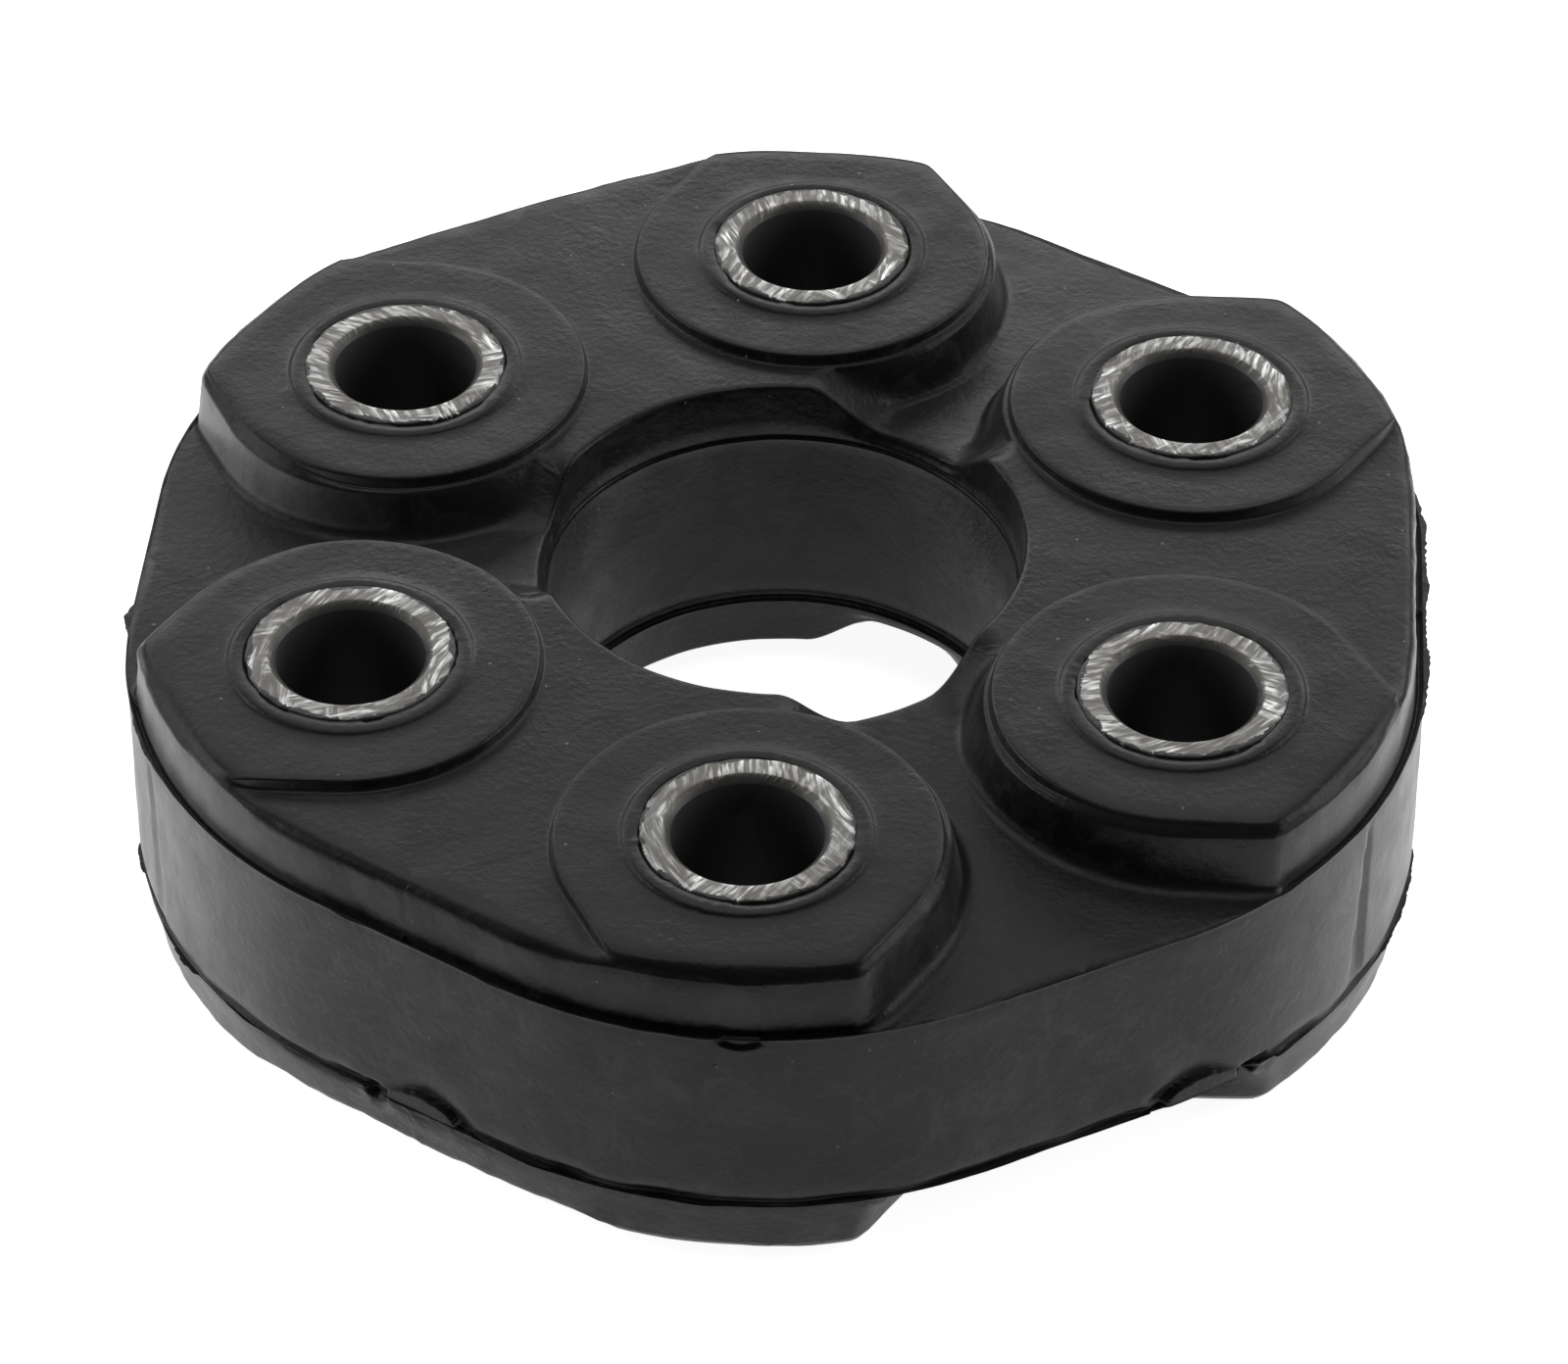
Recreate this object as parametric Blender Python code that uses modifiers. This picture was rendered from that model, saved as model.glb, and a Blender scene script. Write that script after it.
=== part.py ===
# Driveshaft flex disc: a moulded rubber disc with six steel bolt sleeves, tied in pairs by wound
# loops of thread. Metres, +Z up. The disc's axis is Z and it stands on its lower sleeve ends.
import math

import bmesh
import bpy
from mathutils import Vector

mm = 0.001

# Clearance that touching pieces keep to each other
gap = 0.3 * mm

# Pattern: thick links and thin links take turns between the sleeves
link_pairs = 3
sleeve_count = 2 * link_pairs
sleeve_spacing = math.tau / sleeve_count
bolt_circle_radius = 39.0 * mm

# Steel sleeves
sleeve_length = 31.5 * mm
sleeve_radius = 8.6 * mm
bore_radius = 6.1 * mm
bore_chamfer = 0.45 * mm
sleeve_edge_chamfer = 0.25 * mm

# Outline of the rubber at its side band: a broad arc round each sleeve, joined by straight flanks
sleeve_to_corner = 17.1 * mm
corner_radius = 39.0 * mm
band_height = 18.0 * mm

# Central hole
hole_radius = 19.7 * mm
hole_edge_round = 1.4 * mm

# Thin links rise a little from the band's edge towards the hole
thin_crown = 1.6 * mm
thin_crown_run = 33.0 * mm

# Thick links stand on the band, set back from its edge
thick_rise = 5.2 * mm
thick_setback = 0.8 * mm
thick_draft = 0.2 * mm
thick_edge_round = 1.3 * mm
thick_past_sleeve = 3.0 * mm

# Boss round each sleeve: a circle with a flat towards the outside
boss_radius = 15.5 * mm
boss_flat_to_corner = 2.2 * mm
boss_flat_inset = 6.2 * mm
boss_below_sleeve_end = 0.5 * mm
boss_draft = 0.3 * mm
boss_shelf = 0.8 * mm

# Low lip on the boss, close round the sleeve
lip_radius = 10.0 * mm
lip_rise = 0.4 * mm

# Wound thread loops: two on each thick link, one on each thin link
pack_thickness = 2.6 * mm
thin_pack_height = 8.2 * mm
thick_pack_height = 6.2 * mm
rubber_between_packs = 0.6 * mm

# Rings that keep the loops on the sleeves
collar_radius = 11.0 * mm
collar_thickness = 1.2 * mm

# Facets
round_steps = 24
hidden_round_steps = 18
corner_steps = 6
boss_steps = 16
round_edge_steps = 2

# Places worked out from the sizes above; heights count from the disc's middle plane
corner_reach = bolt_circle_radius + sleeve_to_corner
boss_flat_reach = sleeve_to_corner - boss_flat_to_corner
boss_flat_half_width = boss_radius - boss_flat_inset
sleeve_end = sleeve_length / 2
band_top = band_height / 2
boss_top = sleeve_end - boss_below_sleeve_end
thick_top = band_top + thick_rise
packs_bottom = thin_pack_height / 2 + rubber_between_packs + 2 * gap
packs_top = packs_bottom + thick_pack_height
collar_bottom = packs_top + gap
collar_top = collar_bottom + collar_thickness
pack_inner_radius = sleeve_radius + gap
sleeve_hole_radius = sleeve_radius + gap
overlap = 0.5 * mm


def polar(radius, angle):
    return Vector((radius * math.cos(angle), radius * math.sin(angle)))


def sleeve_angle(number):
    return sleeve_spacing * (number - 0.5)


def sleeve_place(number):
    return polar(bolt_circle_radius, sleeve_angle(number))


def arc(centre, radius, start, end, steps):
    turn = (end - start) / steps
    return [centre + polar(radius, start + turn * step) for step in range(steps + 1)]


def quarter_round(radius, steps=round_edge_steps):
    # Inset and rise of each facet of a rounded edge, from the wall to the top
    angles = [math.radians(90) * step / steps for step in range(steps + 1)]
    return [(radius * (math.cos(low) - math.cos(high)), radius * (math.sin(high) - math.sin(low)))
            for low, high in zip(angles, angles[1:])]


def tangent_angle(corner, radius):
    # Angle, round a circle at the origin, of the tangent that meets the given corner
    return math.atan2(corner.y, corner.x) + math.acos(radius / corner.length)


def material(name, colour, roughness, metallic):
    made = bpy.data.materials.new(name)
    made.use_nodes = True
    shader = made.node_tree.nodes["Principled BSDF"]
    shader.inputs["Base Color"].default_value = (*colour, 1)
    shader.inputs["Roughness"].default_value = roughness
    shader.inputs["Metallic"].default_value = metallic
    made.diffuse_color = (*colour, 1)
    return made


def place(name, mesh, collection, finish=None, z=sleeve_end):
    made = bpy.data.objects.new(name, mesh)
    made.location.z = z
    collection.objects.link(made)
    if finish:
        mesh.materials.append(finish)
        mesh.shade_smooth()
        mesh.set_sharp_from_angle(angle=math.radians(35))
    else:
        made.hide_render = True
        made.display_type = 'WIRE'
    return made


def raised(name, outline, base, steps, open_base=False):
    # A flat outline raised step by step, each step an inset and a rise
    bm = bmesh.new()
    bottom = bm.faces.new([bm.verts.new((*point, base)) for point in outline])
    first = bmesh.ops.extrude_face_region(bm, geom=[bottom], use_keep_orig=True)
    top = next(item for item in first["geom"] if isinstance(item, bmesh.types.BMFace))
    bmesh.ops.translate(bm, verts=top.verts, vec=(0, 0, steps[0][1]))
    for inset, rise in steps[1:]:
        bmesh.ops.inset_region(bm, faces=[top], thickness=inset, depth=rise, use_even_offset=True)
    bmesh.ops.recalc_face_normals(bm, faces=bm.faces)
    if open_base:
        bmesh.ops.delete(bm, geom=[bottom], context='FACES_ONLY')
    mesh = bpy.data.meshes.new(name)
    bm.to_mesh(mesh)
    bm.free()
    return mesh


def turned(name, profile, collection, place_xy=Vector((0, 0)), finish=None, z=sleeve_end,
           steps=round_steps):
    # A closed profile of (radius, height) points, turned about a vertical axis
    mesh = bpy.data.meshes.new(name)
    points = [(radius, 0, height) for radius, height in profile]
    edges = [(index, (index + 1) % len(points)) for index in range(len(points))]
    mesh.from_pydata(points, edges, [])
    made = place(name, mesh, collection, finish, z)
    made.location.xy = place_xy
    screw = made.modifiers.new("Turn", 'SCREW')
    screw.steps = screw.render_steps = steps
    screw.use_merge_vertices = True
    screw.merge_threshold = 0.01 * mm
    screw.use_smooth_shade = True
    return made


def mirror_down(made):
    mirror = made.modifiers.new("Lower half", 'MIRROR')
    mirror.use_axis = (False, False, True)
    mirror.merge_threshold = 0.01 * mm


def disc_outline(setback):
    points = []
    for number in range(1, sleeve_count + 1):
        facing = sleeve_angle(number)
        centre = polar(corner_reach - corner_radius, facing)
        half = sleeve_spacing / 2
        points += arc(centre, corner_radius - setback, facing - half, facing + half, corner_steps)
    return points


def thick_outline():
    # One thick link seen from above, its middle on +X: half of it is drawn, then mirrored.
    # It follows the disc's outline, passes round the boss with a narrow shelf, and turns to the hole.
    facing = sleeve_spacing / 2
    outward, across = polar(1, facing), polar(1, facing + math.pi / 2)
    shelf_radius = boss_radius + boss_shelf
    corner_width = boss_flat_half_width + boss_shelf
    outer_radius = corner_radius - thick_setback
    outer_centre = outward * (corner_reach - corner_radius)
    outer_turn = math.asin(corner_width / outer_radius)
    half = arc(outer_centre, outer_radius, 0, facing + outer_turn, corner_steps)
    sleeve = outward * bolt_circle_radius
    corner = half[-1] - sleeve
    corner = Vector((corner.dot(outward), corner.dot(across)))
    past = math.pi - math.asin(thick_past_sleeve / shelf_radius)
    half += arc(sleeve, shelf_radius, facing + tangent_angle(corner, shelf_radius), facing + past,
                boss_steps // 2)
    half.append(outward * (hole_radius / 2) + across * thick_past_sleeve)
    return [Vector((point.x, -point.y)) for point in reversed(half)] + half


def boss_outline(grow):
    # One boss, its flat facing +X
    radius = boss_radius + grow
    corner = Vector((boss_flat_reach + grow, boss_flat_half_width + grow))
    start = tangent_angle(corner, radius)
    around = arc(Vector((0, 0)), radius, start, math.tau - start, boss_steps)
    return [Vector((corner.x, -corner.y)), corner] + around


def racetrack(name, inner_radius, height):
    # A loop round two sleeves: an upright strip along the inner side, thickened outwards
    half_span = bolt_circle_radius * math.sin(sleeve_spacing / 2)
    quarter = math.pi / 2
    steps = hidden_round_steps // 2
    path = arc(Vector((0, half_span)), inner_radius, 0, 2 * quarter, steps)
    path += arc(Vector((0, -half_span)), inner_radius, 2 * quarter, 4 * quarter, steps)
    bm = bmesh.new()
    low = [bm.verts.new((*point, -height / 2)) for point in path]
    high = [bm.verts.new((*point, height / 2)) for point in path]
    for index in range(len(path)):
        after = (index + 1) % len(path)
        bm.faces.new((low[index], low[after], high[after], high[index]))
    mesh = bpy.data.meshes.new(name)
    bm.to_mesh(mesh)
    bm.free()
    return mesh


def add_loop(name, link_angle, height_from_middle, thickness, inner_radius, height, collection,
             finish=None):
    made = place(name, racetrack(name, inner_radius, height), collection, finish)
    made.location.xy = polar(bolt_circle_radius * math.cos(sleeve_spacing / 2), link_angle)
    made.location.z = sleeve_end + height_from_middle
    made.rotation_euler.z = link_angle
    wall = made.modifiers.new("Wound thickness", 'SOLIDIFY')
    wall.thickness = thickness
    wall.offset = 1
    wall.use_even_offset = True
    return made


def pack_layers():
    # Name, link direction, height from the middle plane and height of every thread loop
    layers = []
    thick_height_place = packs_bottom + thick_pack_height / 2
    for number in range(link_pairs):
        thick_angle = 2 * sleeve_spacing * number
        name = f"thread_pack_thick_{number + 1}"
        layers.append((name + "_upper", thick_angle, thick_height_place, thick_pack_height))
        layers.append((name + "_lower", thick_angle, -thick_height_place, thick_pack_height))
        thin_angle = thick_angle + sleeve_spacing
        layers.append((f"thread_pack_thin_{number + 1}", thin_angle, 0, thin_pack_height))
    return layers


def add_thread_packs(parts, finish):
    for name, link_angle, height_place, height in pack_layers():
        add_loop(name, link_angle, height_place, pack_thickness, pack_inner_radius, height, parts,
                 finish)


def add_sleeves(parts, finish):
    end = sleeve_length
    profile = [
        (sleeve_radius - sleeve_edge_chamfer, end), (sleeve_radius, end - sleeve_edge_chamfer),
        (sleeve_radius, sleeve_edge_chamfer), (sleeve_radius - sleeve_edge_chamfer, 0),
        (bore_radius + bore_chamfer, 0), (bore_radius, bore_chamfer),
        (bore_radius, end - bore_chamfer), (bore_radius + bore_chamfer, end)]
    for number in range(1, sleeve_count + 1):
        turned(f"sleeve_{number}", profile, parts, sleeve_place(number), finish, z=0)


def add_collars(parts, finish):
    half = collar_thickness / 2
    profile = [(collar_radius, half), (collar_radius, -half), (pack_inner_radius, -half),
               (pack_inner_radius, half)]
    middle = (collar_bottom + collar_top) / 2
    for number in range(1, sleeve_count + 1):
        for level, side in (("upper", 1), ("lower", -1)):
            turned(f"sleeve_collar_{level}_{number}", profile, parts, sleeve_place(number), finish,
                   z=sleeve_end + side * middle, steps=hidden_round_steps)


def add_rubber_forms(forms):
    # What stands on the rubber's core, on both faces
    thick_steps = [(0, overlap), (thick_draft, thick_rise - thick_edge_round)]
    thick_steps += quarter_round(thick_edge_round)
    boss_base = band_top - overlap
    boss_walls = [(0, thick_top - boss_base), (boss_draft, boss_top - thick_top)]
    lip_profile = [(lip_radius - lip_rise / 2, boss_top + lip_rise), (lip_radius, boss_top + lip_rise / 2),
                   (lip_radius, boss_top - overlap), (0, boss_top - overlap), (0, boss_top + lip_rise)]
    for number in range(link_pairs):
        link = place(f"thick link {number + 1}",
                     raised("thick link", thick_outline(), band_top - overlap, thick_steps), forms)
        link.rotation_euler.z = 2 * sleeve_spacing * number
        mirror_down(link)
    for number in range(1, sleeve_count + 1):
        boss_mesh = raised("boss", boss_outline(boss_draft), boss_base, boss_walls)
        boss = place(f"boss {number}", boss_mesh, forms)
        boss.rotation_euler.z = sleeve_angle(number)
        boss.location.xy = sleeve_place(number)
        mirror_down(boss)
        mirror_down(turned(f"lip {number}", lip_profile, forms, sleeve_place(number),
                           steps=hidden_round_steps))


def add_rubber_cutters(cutters):
    # The central hole, its edges rounded where it leaves the thick links
    beyond = sleeve_end + overlap
    round_centre = Vector((hole_radius + hole_edge_round, thick_top - hole_edge_round))
    flare = [tuple(point) for point in arc(round_centre, hole_edge_round, math.pi / 2, math.pi, 3)]
    upper = [(hole_radius + hole_edge_round, beyond)] + flare
    lower = [(radius, -height) for radius, height in reversed(upper)]
    turned("central hole", upper + lower + [(0, -beyond), (0, beyond)], cutters)
    # A hole for each sleeve, with a groove for each collar
    groove = collar_radius + gap
    upper = [(sleeve_hole_radius, beyond), (sleeve_hole_radius, collar_top + gap), (groove, collar_top + gap),
             (groove, collar_bottom - gap), (sleeve_hole_radius, collar_bottom - gap)]
    lower = [(radius, -height) for radius, height in reversed(upper)]
    for number in range(1, sleeve_count + 1):
        turned(f"sleeve hole {number}", upper + lower + [(0, -beyond), (0, beyond)], cutters,
               sleeve_place(number), steps=hidden_round_steps)
    # A channel for each thread loop, open into the sleeve holes
    for name, link_angle, height_place, height in pack_layers():
        add_loop(name + " channel", link_angle, height_place, pack_thickness + 2 * gap,
                 pack_inner_radius - gap, height + 2 * gap, cutters)


def add_rubber_body(parts, forms, cutters, finish):
    core_steps = [(0, band_top), (thin_crown_run, thin_crown)]
    core = raised("rubber_body", disc_outline(0), 0, core_steps, open_base=True)
    body = place("rubber_body", core, parts, finish)
    mirror_down(body)
    for title, operation, operands in (("Links and bosses", 'UNION', forms),
                                       ("Holes and channels", 'DIFFERENCE', cutters)):
        change = body.modifiers.new(title, 'BOOLEAN')
        change.operation = operation
        change.operand_type = 'COLLECTION'
        change.collection = operands
        change.solver = 'EXACT'


def main():
    for existing in list(bpy.data.objects):
        bpy.data.objects.remove(existing)
    scene_collection = bpy.context.scene.collection
    parts = bpy.data.collections.new("driveshaft_flex_disc")
    forms = bpy.data.collections.new("rubber_forms")
    cutters = bpy.data.collections.new("rubber_cutters")
    for collection in (parts, forms, cutters):
        scene_collection.children.link(collection)
    rubber = material("moulded_rubber", (0.045, 0.045, 0.046), 0.6, 0)
    steel = material("bare_steel", (0.56, 0.55, 0.53), 0.4, 1)
    collar_steel = material("collar_steel", (0.35, 0.35, 0.36), 0.45, 1)
    thread = material("wound_thread", (0.55, 0.45, 0.30), 0.85, 0)
    add_rubber_forms(forms)
    add_rubber_cutters(cutters)
    add_rubber_body(parts, forms, cutters, rubber)
    add_sleeves(parts, steel)
    add_collars(parts, collar_steel)
    add_thread_packs(parts, thread)


main()
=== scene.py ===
import math

import bmesh
import bpy
import numpy as np
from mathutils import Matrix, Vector, noise


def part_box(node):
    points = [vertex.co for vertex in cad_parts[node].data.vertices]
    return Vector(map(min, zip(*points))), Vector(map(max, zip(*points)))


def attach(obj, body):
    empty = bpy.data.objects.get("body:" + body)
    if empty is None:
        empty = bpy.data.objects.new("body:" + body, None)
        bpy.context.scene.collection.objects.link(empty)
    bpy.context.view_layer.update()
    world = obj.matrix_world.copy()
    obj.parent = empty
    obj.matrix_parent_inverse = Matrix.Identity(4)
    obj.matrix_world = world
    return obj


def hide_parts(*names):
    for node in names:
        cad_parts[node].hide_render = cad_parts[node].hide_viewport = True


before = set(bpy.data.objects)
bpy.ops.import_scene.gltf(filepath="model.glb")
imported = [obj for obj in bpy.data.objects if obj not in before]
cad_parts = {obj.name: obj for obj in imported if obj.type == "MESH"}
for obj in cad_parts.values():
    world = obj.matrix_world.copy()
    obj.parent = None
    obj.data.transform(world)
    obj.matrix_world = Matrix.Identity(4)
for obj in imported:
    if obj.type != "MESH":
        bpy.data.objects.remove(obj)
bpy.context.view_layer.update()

# Driveshaft flex disc. Sizes in the dictionaries are millimetres; heights count from the disc's
# middle plane unless a note says otherwise.
mm = 0.001
sleeveNumbers = range(1, 7)
sleeveLow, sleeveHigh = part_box("sleeve_1")
sleeveHalf = (sleeveHigh.z - sleeveLow.z) / 2 / mm
middleHeight = (sleeveHigh.z + sleeveLow.z) / 2
linkAngle = math.pi / 3
halfLink = linkAngle / 2
farOff = 1e3   # distance given to a line that a direction doesn't meet
print("frame loaded")


def sleeveAngle(number):
    return linkAngle * (number - 0.5)


def fromSleeve(turn):
    # Turn from the nearest sleeve
    return (turn + linkAngle) % linkAngle - halfLink


def smoothStep(low, high, value):
    share = np.clip((np.asarray(value, float) - low) / (high - low), 0, 1)
    return share * share * (3 - 2 * share)


def between(first, second, share):
    return first + (second - first) * share


def softMin(first, second, blend):
    return -blend * np.logaddexp(-first / blend, -second / blend)


def softMax(first, second, blend):
    return blend * np.logaddexp(first / blend, second / blend)


def arcShares(turns):
    # Along a round edge, by turns in degrees: how much of its radius is left sideways and upwards
    return [(1 - math.sin(math.radians(turn)), 1 - math.cos(math.radians(turn))) for turn in turns]


def turnApart(turn, place):
    # Degrees from a place to a turn, the short way round
    return (turn - place + 180) % 360 - 180


def alongRim(turn, place, radius):
    return np.radians(turnApart(turn, place)) * radius


def gridFaces(rows, columns, first=0, rowsClosed=True, columnsClosed=True):
    # Quads between the points of a grid that is listed row by row
    faces = []
    for row in range(rows if rowsClosed else rows - 1):
        start = first + row * columns
        after = first + (row + 1) % rows * columns
        for column in range(columns if columnsClosed else columns - 1):
            beside = (column + 1) % columns
            faces.append((start + column, start + beside, after + beside, after + column))
    return faces


def meshObject(name, points, faces, material, smooth=True):
    mesh = bpy.data.meshes.new(name)
    mesh.from_pydata([tuple(point) for point in points], [], faces)
    mesh.materials.append(material)
    if smooth:
        mesh.shade_smooth()
    made = bpy.data.objects.new(name, mesh)
    bpy.context.scene.collection.objects.link(made)
    return made


def turnFacesOutward(made):
    bm = bmesh.new()
    bm.from_mesh(made.data)
    bmesh.ops.recalc_face_normals(bm, faces=bm.faces)
    bm.to_mesh(made.data)
    bm.free()


# Camera at the photograph's angle
camera = {
    "azimuth": 3.9, "elevation": 39.98,   # degrees
    "distance": 506.0, "aimRadius": 21.0, "aimSide": 0.21, "nearest": 10.0,
    "focalPixels": 6394.0, "pictureWidth": 1600, "sensor": 36.0,
}


def makeCamera():
    turn, rise = math.radians(camera["azimuth"]), math.radians(camera["elevation"])
    right = Vector((math.cos(turn), math.sin(turn), 0))
    front = Vector((math.sin(turn), -math.cos(turn), 0))
    aim = (right * camera["aimSide"] + front * camera["aimRadius"]) * mm
    aim.z = sleeveHigh.z
    back = front * math.cos(rise) + Vector((0, 0, math.sin(rise)))
    lens = bpy.data.cameras.new("camera")
    lens.sensor_width = camera["sensor"]
    lens.lens = camera["focalPixels"] / camera["pictureWidth"] * camera["sensor"]
    lens.clip_start = camera["nearest"] * mm
    made = bpy.data.objects.new("camera", lens)
    made.location = aim + back * camera["distance"] * mm
    made.rotation_mode = 'QUATERNION'
    made.rotation_quaternion = back.to_track_quat('Z', 'Y')
    bpy.context.scene.collection.objects.link(made)
    bpy.context.scene.camera = made


makeCamera()
print("camera placed")


# Shader groups, built once and placed in each material with its own values
def newGroup(name, outputs, inputs):
    # Every group works from a place on the piece; an input's default value says whether it is a vector
    group = bpy.data.node_groups.new(name, 'ShaderNodeTree')
    for title, value in {"Vector": (0, 0, 0), **inputs}.items():
        kind = 'NodeSocketVector' if isinstance(value, tuple) else 'NodeSocketFloat'
        socket = group.interface.new_socket(title, in_out='INPUT', socket_type=kind)
        socket.default_value = value
    for title in outputs:
        group.interface.new_socket(title, in_out='OUTPUT', socket_type='NodeSocketFloat')
    return group, group.nodes.new("NodeGroupInput"), group.nodes.new("NodeGroupOutput")


def feed(tree, socket, value):
    # Link an output to a socket, or set the socket's constant
    if hasattr(value, "is_output"):
        tree.links.new(value, socket)
    else:
        socket.default_value = value


def feedInputs(tree, node, **values):
    for key, value in values.items():
        feed(tree, node.inputs[key.replace("_", " ")], value)


def addNode(tree, kind, settings=None, **values):
    node = tree.nodes.new(kind)
    for key, value in (settings or {}).items():
        setattr(node, key, value)
    feedInputs(tree, node, **values)
    return node


def mathNode(tree, operation, first, second=None):
    node = addNode(tree, "ShaderNodeMath", {"operation": operation})
    feed(tree, node.inputs[0], first)
    if second is not None:
        feed(tree, node.inputs[1], second)
    return node.outputs[0]


def times(tree, first, second):
    return mathNode(tree, 'MULTIPLY', first, second)


def plus(tree, first, second):
    return mathNode(tree, 'ADD', first, second)


def vectorNode(tree, operation, *values):
    node = addNode(tree, "ShaderNodeVectorMath", {"operation": operation})
    for socket, value in zip(node.inputs, values):
        feed(tree, socket, value)
    return node


def rangeNode(tree, value, low, high, toLow=0.0, toHigh=1.0):
    node = addNode(tree, "ShaderNodeMapRange", {"interpolation_type": 'SMOOTHSTEP'}, Value=value,
                   From_Min=low, From_Max=high, To_Min=toLow, To_Max=toHigh)
    return node.outputs["Result"]


def mixColour(tree, factor, first, second):
    node = addNode(tree, "ShaderNodeMix", {"data_type": 'RGBA'}, Factor=factor)
    for title, value in (("A", first), ("B", second)):
        feed(tree, node.inputs[title], (*value, 1) if isinstance(value, tuple) else value)
    return node.outputs["Result"]


def noiseNode(tree, vector, scale, detail=3.0, roughness=0.55, distortion=0.0):
    node = addNode(tree, "ShaderNodeTexNoise", Vector=vector, Scale=scale, Detail=detail,
                   Roughness=roughness, Distortion=distortion)
    return node.outputs["Fac"]


def mouldGrainGroup():
    # Fine moulded grain with shallow waves under it
    group, start, end = newGroup("mouldGrain", ["Height", "Tone"],
                                 {"Grain Scale": 2200.0, "Wave Scale": 160.0, "Wave Share": 0.5})
    grain = noiseNode(group, start.outputs["Vector"], start.outputs["Grain Scale"], 4.0, 0.6)
    waves = noiseNode(group, start.outputs["Vector"], start.outputs["Wave Scale"], 3.0, 0.5, 0.4)
    raisedWaves = times(group, waves, start.outputs["Wave Share"])
    feedInputs(group, end, Height=plus(group, grain, raisedWaves), Tone=rangeNode(group, waves, 0.35, 0.65))
    return group


def dustGroup():
    # Sparse pale specks
    group, start, end = newGroup("dustSpecks", ["Mask"], {"Speck Scale": 900.0, "Amount": 0.5})
    cells = addNode(group, "ShaderNodeTexVoronoi", {"feature": 'F1'}, Vector=start.outputs["Vector"],
                    Scale=start.outputs["Speck Scale"])
    dot = rangeNode(group, cells.outputs["Distance"], 0.08, 0.15, 1.0, 0.0)
    hue = addNode(group, "ShaderNodeSeparateColor", Color=cells.outputs["Color"])
    chosen = rangeNode(group, hue.outputs["Red"], 0.947, 0.956)   # about one cell in twenty holds a speck
    both = times(group, dot, chosen)
    feedInputs(group, end, Mask=times(group, both, start.outputs["Amount"]))
    return group


def scrapeGroup():
    # Grinding marks along arcs round a centre outside the piece: fine scratches in broader tracks
    group, start, end = newGroup("scrapeMarks", ["Scratch", "Track"],
                                 {"Centre": (0, 0, 0), "Width Scale": 2800.0, "Length Share": 0.09})
    away = vectorNode(group, 'SUBTRACT', start.outputs["Vector"], start.outputs["Centre"])
    reach = vectorNode(group, 'LENGTH', away.outputs[0])
    shrunk = vectorNode(group, 'SCALE', away.outputs[0])
    feedInputs(group, shrunk, Scale=start.outputs["Length Share"])
    parts = addNode(group, "ShaderNodeSeparateXYZ", Vector=shrunk.outputs[0])
    joined = addNode(group, "ShaderNodeCombineXYZ", X=reach.outputs["Value"], Y=parts.outputs["X"],
                     Z=parts.outputs["Y"])
    fine = noiseNode(group, joined.outputs[0], start.outputs["Width Scale"], 2.0, 0.6, 0.2)
    trackScale = times(group, start.outputs["Width Scale"], 0.3)
    track = noiseNode(group, joined.outputs[0], trackScale, 2.0, 0.5, 0.3)
    feedInputs(group, end, Scratch=rangeNode(group, fine, 0.44, 0.66),
               Track=rangeNode(group, track, 0.38, 0.6))
    return group


groups = {"grain": mouldGrainGroup(), "dust": dustGroup(), "scrape": scrapeGroup()}


def placeGroup(tree, name, vector, **values):
    return addNode(tree, "ShaderNodeGroup", {"node_tree": groups[name]}, Vector=vector, **values)


def objectPlace(tree):
    return tree.nodes.new("ShaderNodeTexCoord").outputs["Object"]


def newMaterial(name, **constants):
    made = bpy.data.materials.new(name)
    made.use_nodes = True
    shader = made.node_tree.nodes["Principled BSDF"]
    feedInputs(made.node_tree, shader, **constants)
    return made, made.node_tree, shader


def bumpInto(tree, shader, height, distance):
    bump = addNode(tree, "ShaderNodeBump", Strength=1.0, Distance=distance, Height=height)
    feedInputs(tree, shader, Normal=bump.outputs["Normal"])


rubberFinish = {
    "dark": (0.0042, 0.0046, 0.0046), "light": (0.0135, 0.0141, 0.0139), "dust": (0.16, 0.16, 0.15),
    "roughLow": 0.28, "roughHigh": 0.42, "grainDepth": 0.00006,
    "paintedShadeMiddle": 3.0, "sideStart": 4.0, "sideEnd": 38.0,   # painted shade across the middle, painted light towards the sides
    "sheenAndBlotchTone": (0.30, 0.312, 0.306), "paintedSheenStart": 33.0, "paintedSheenEnd": 56.0,   # painted sheen on the walls towards the disc's far sides, in place of their reflection
    "streakScale": 330.0, "streakLength": 0.4,   # streaks in the painted sheen, drawn out along the height
    "mottle": 0.12, "mottleScale": 190.0,   # faint blotches in the same pale colour on every wall
    "smearScale": 75.0,
}


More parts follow.
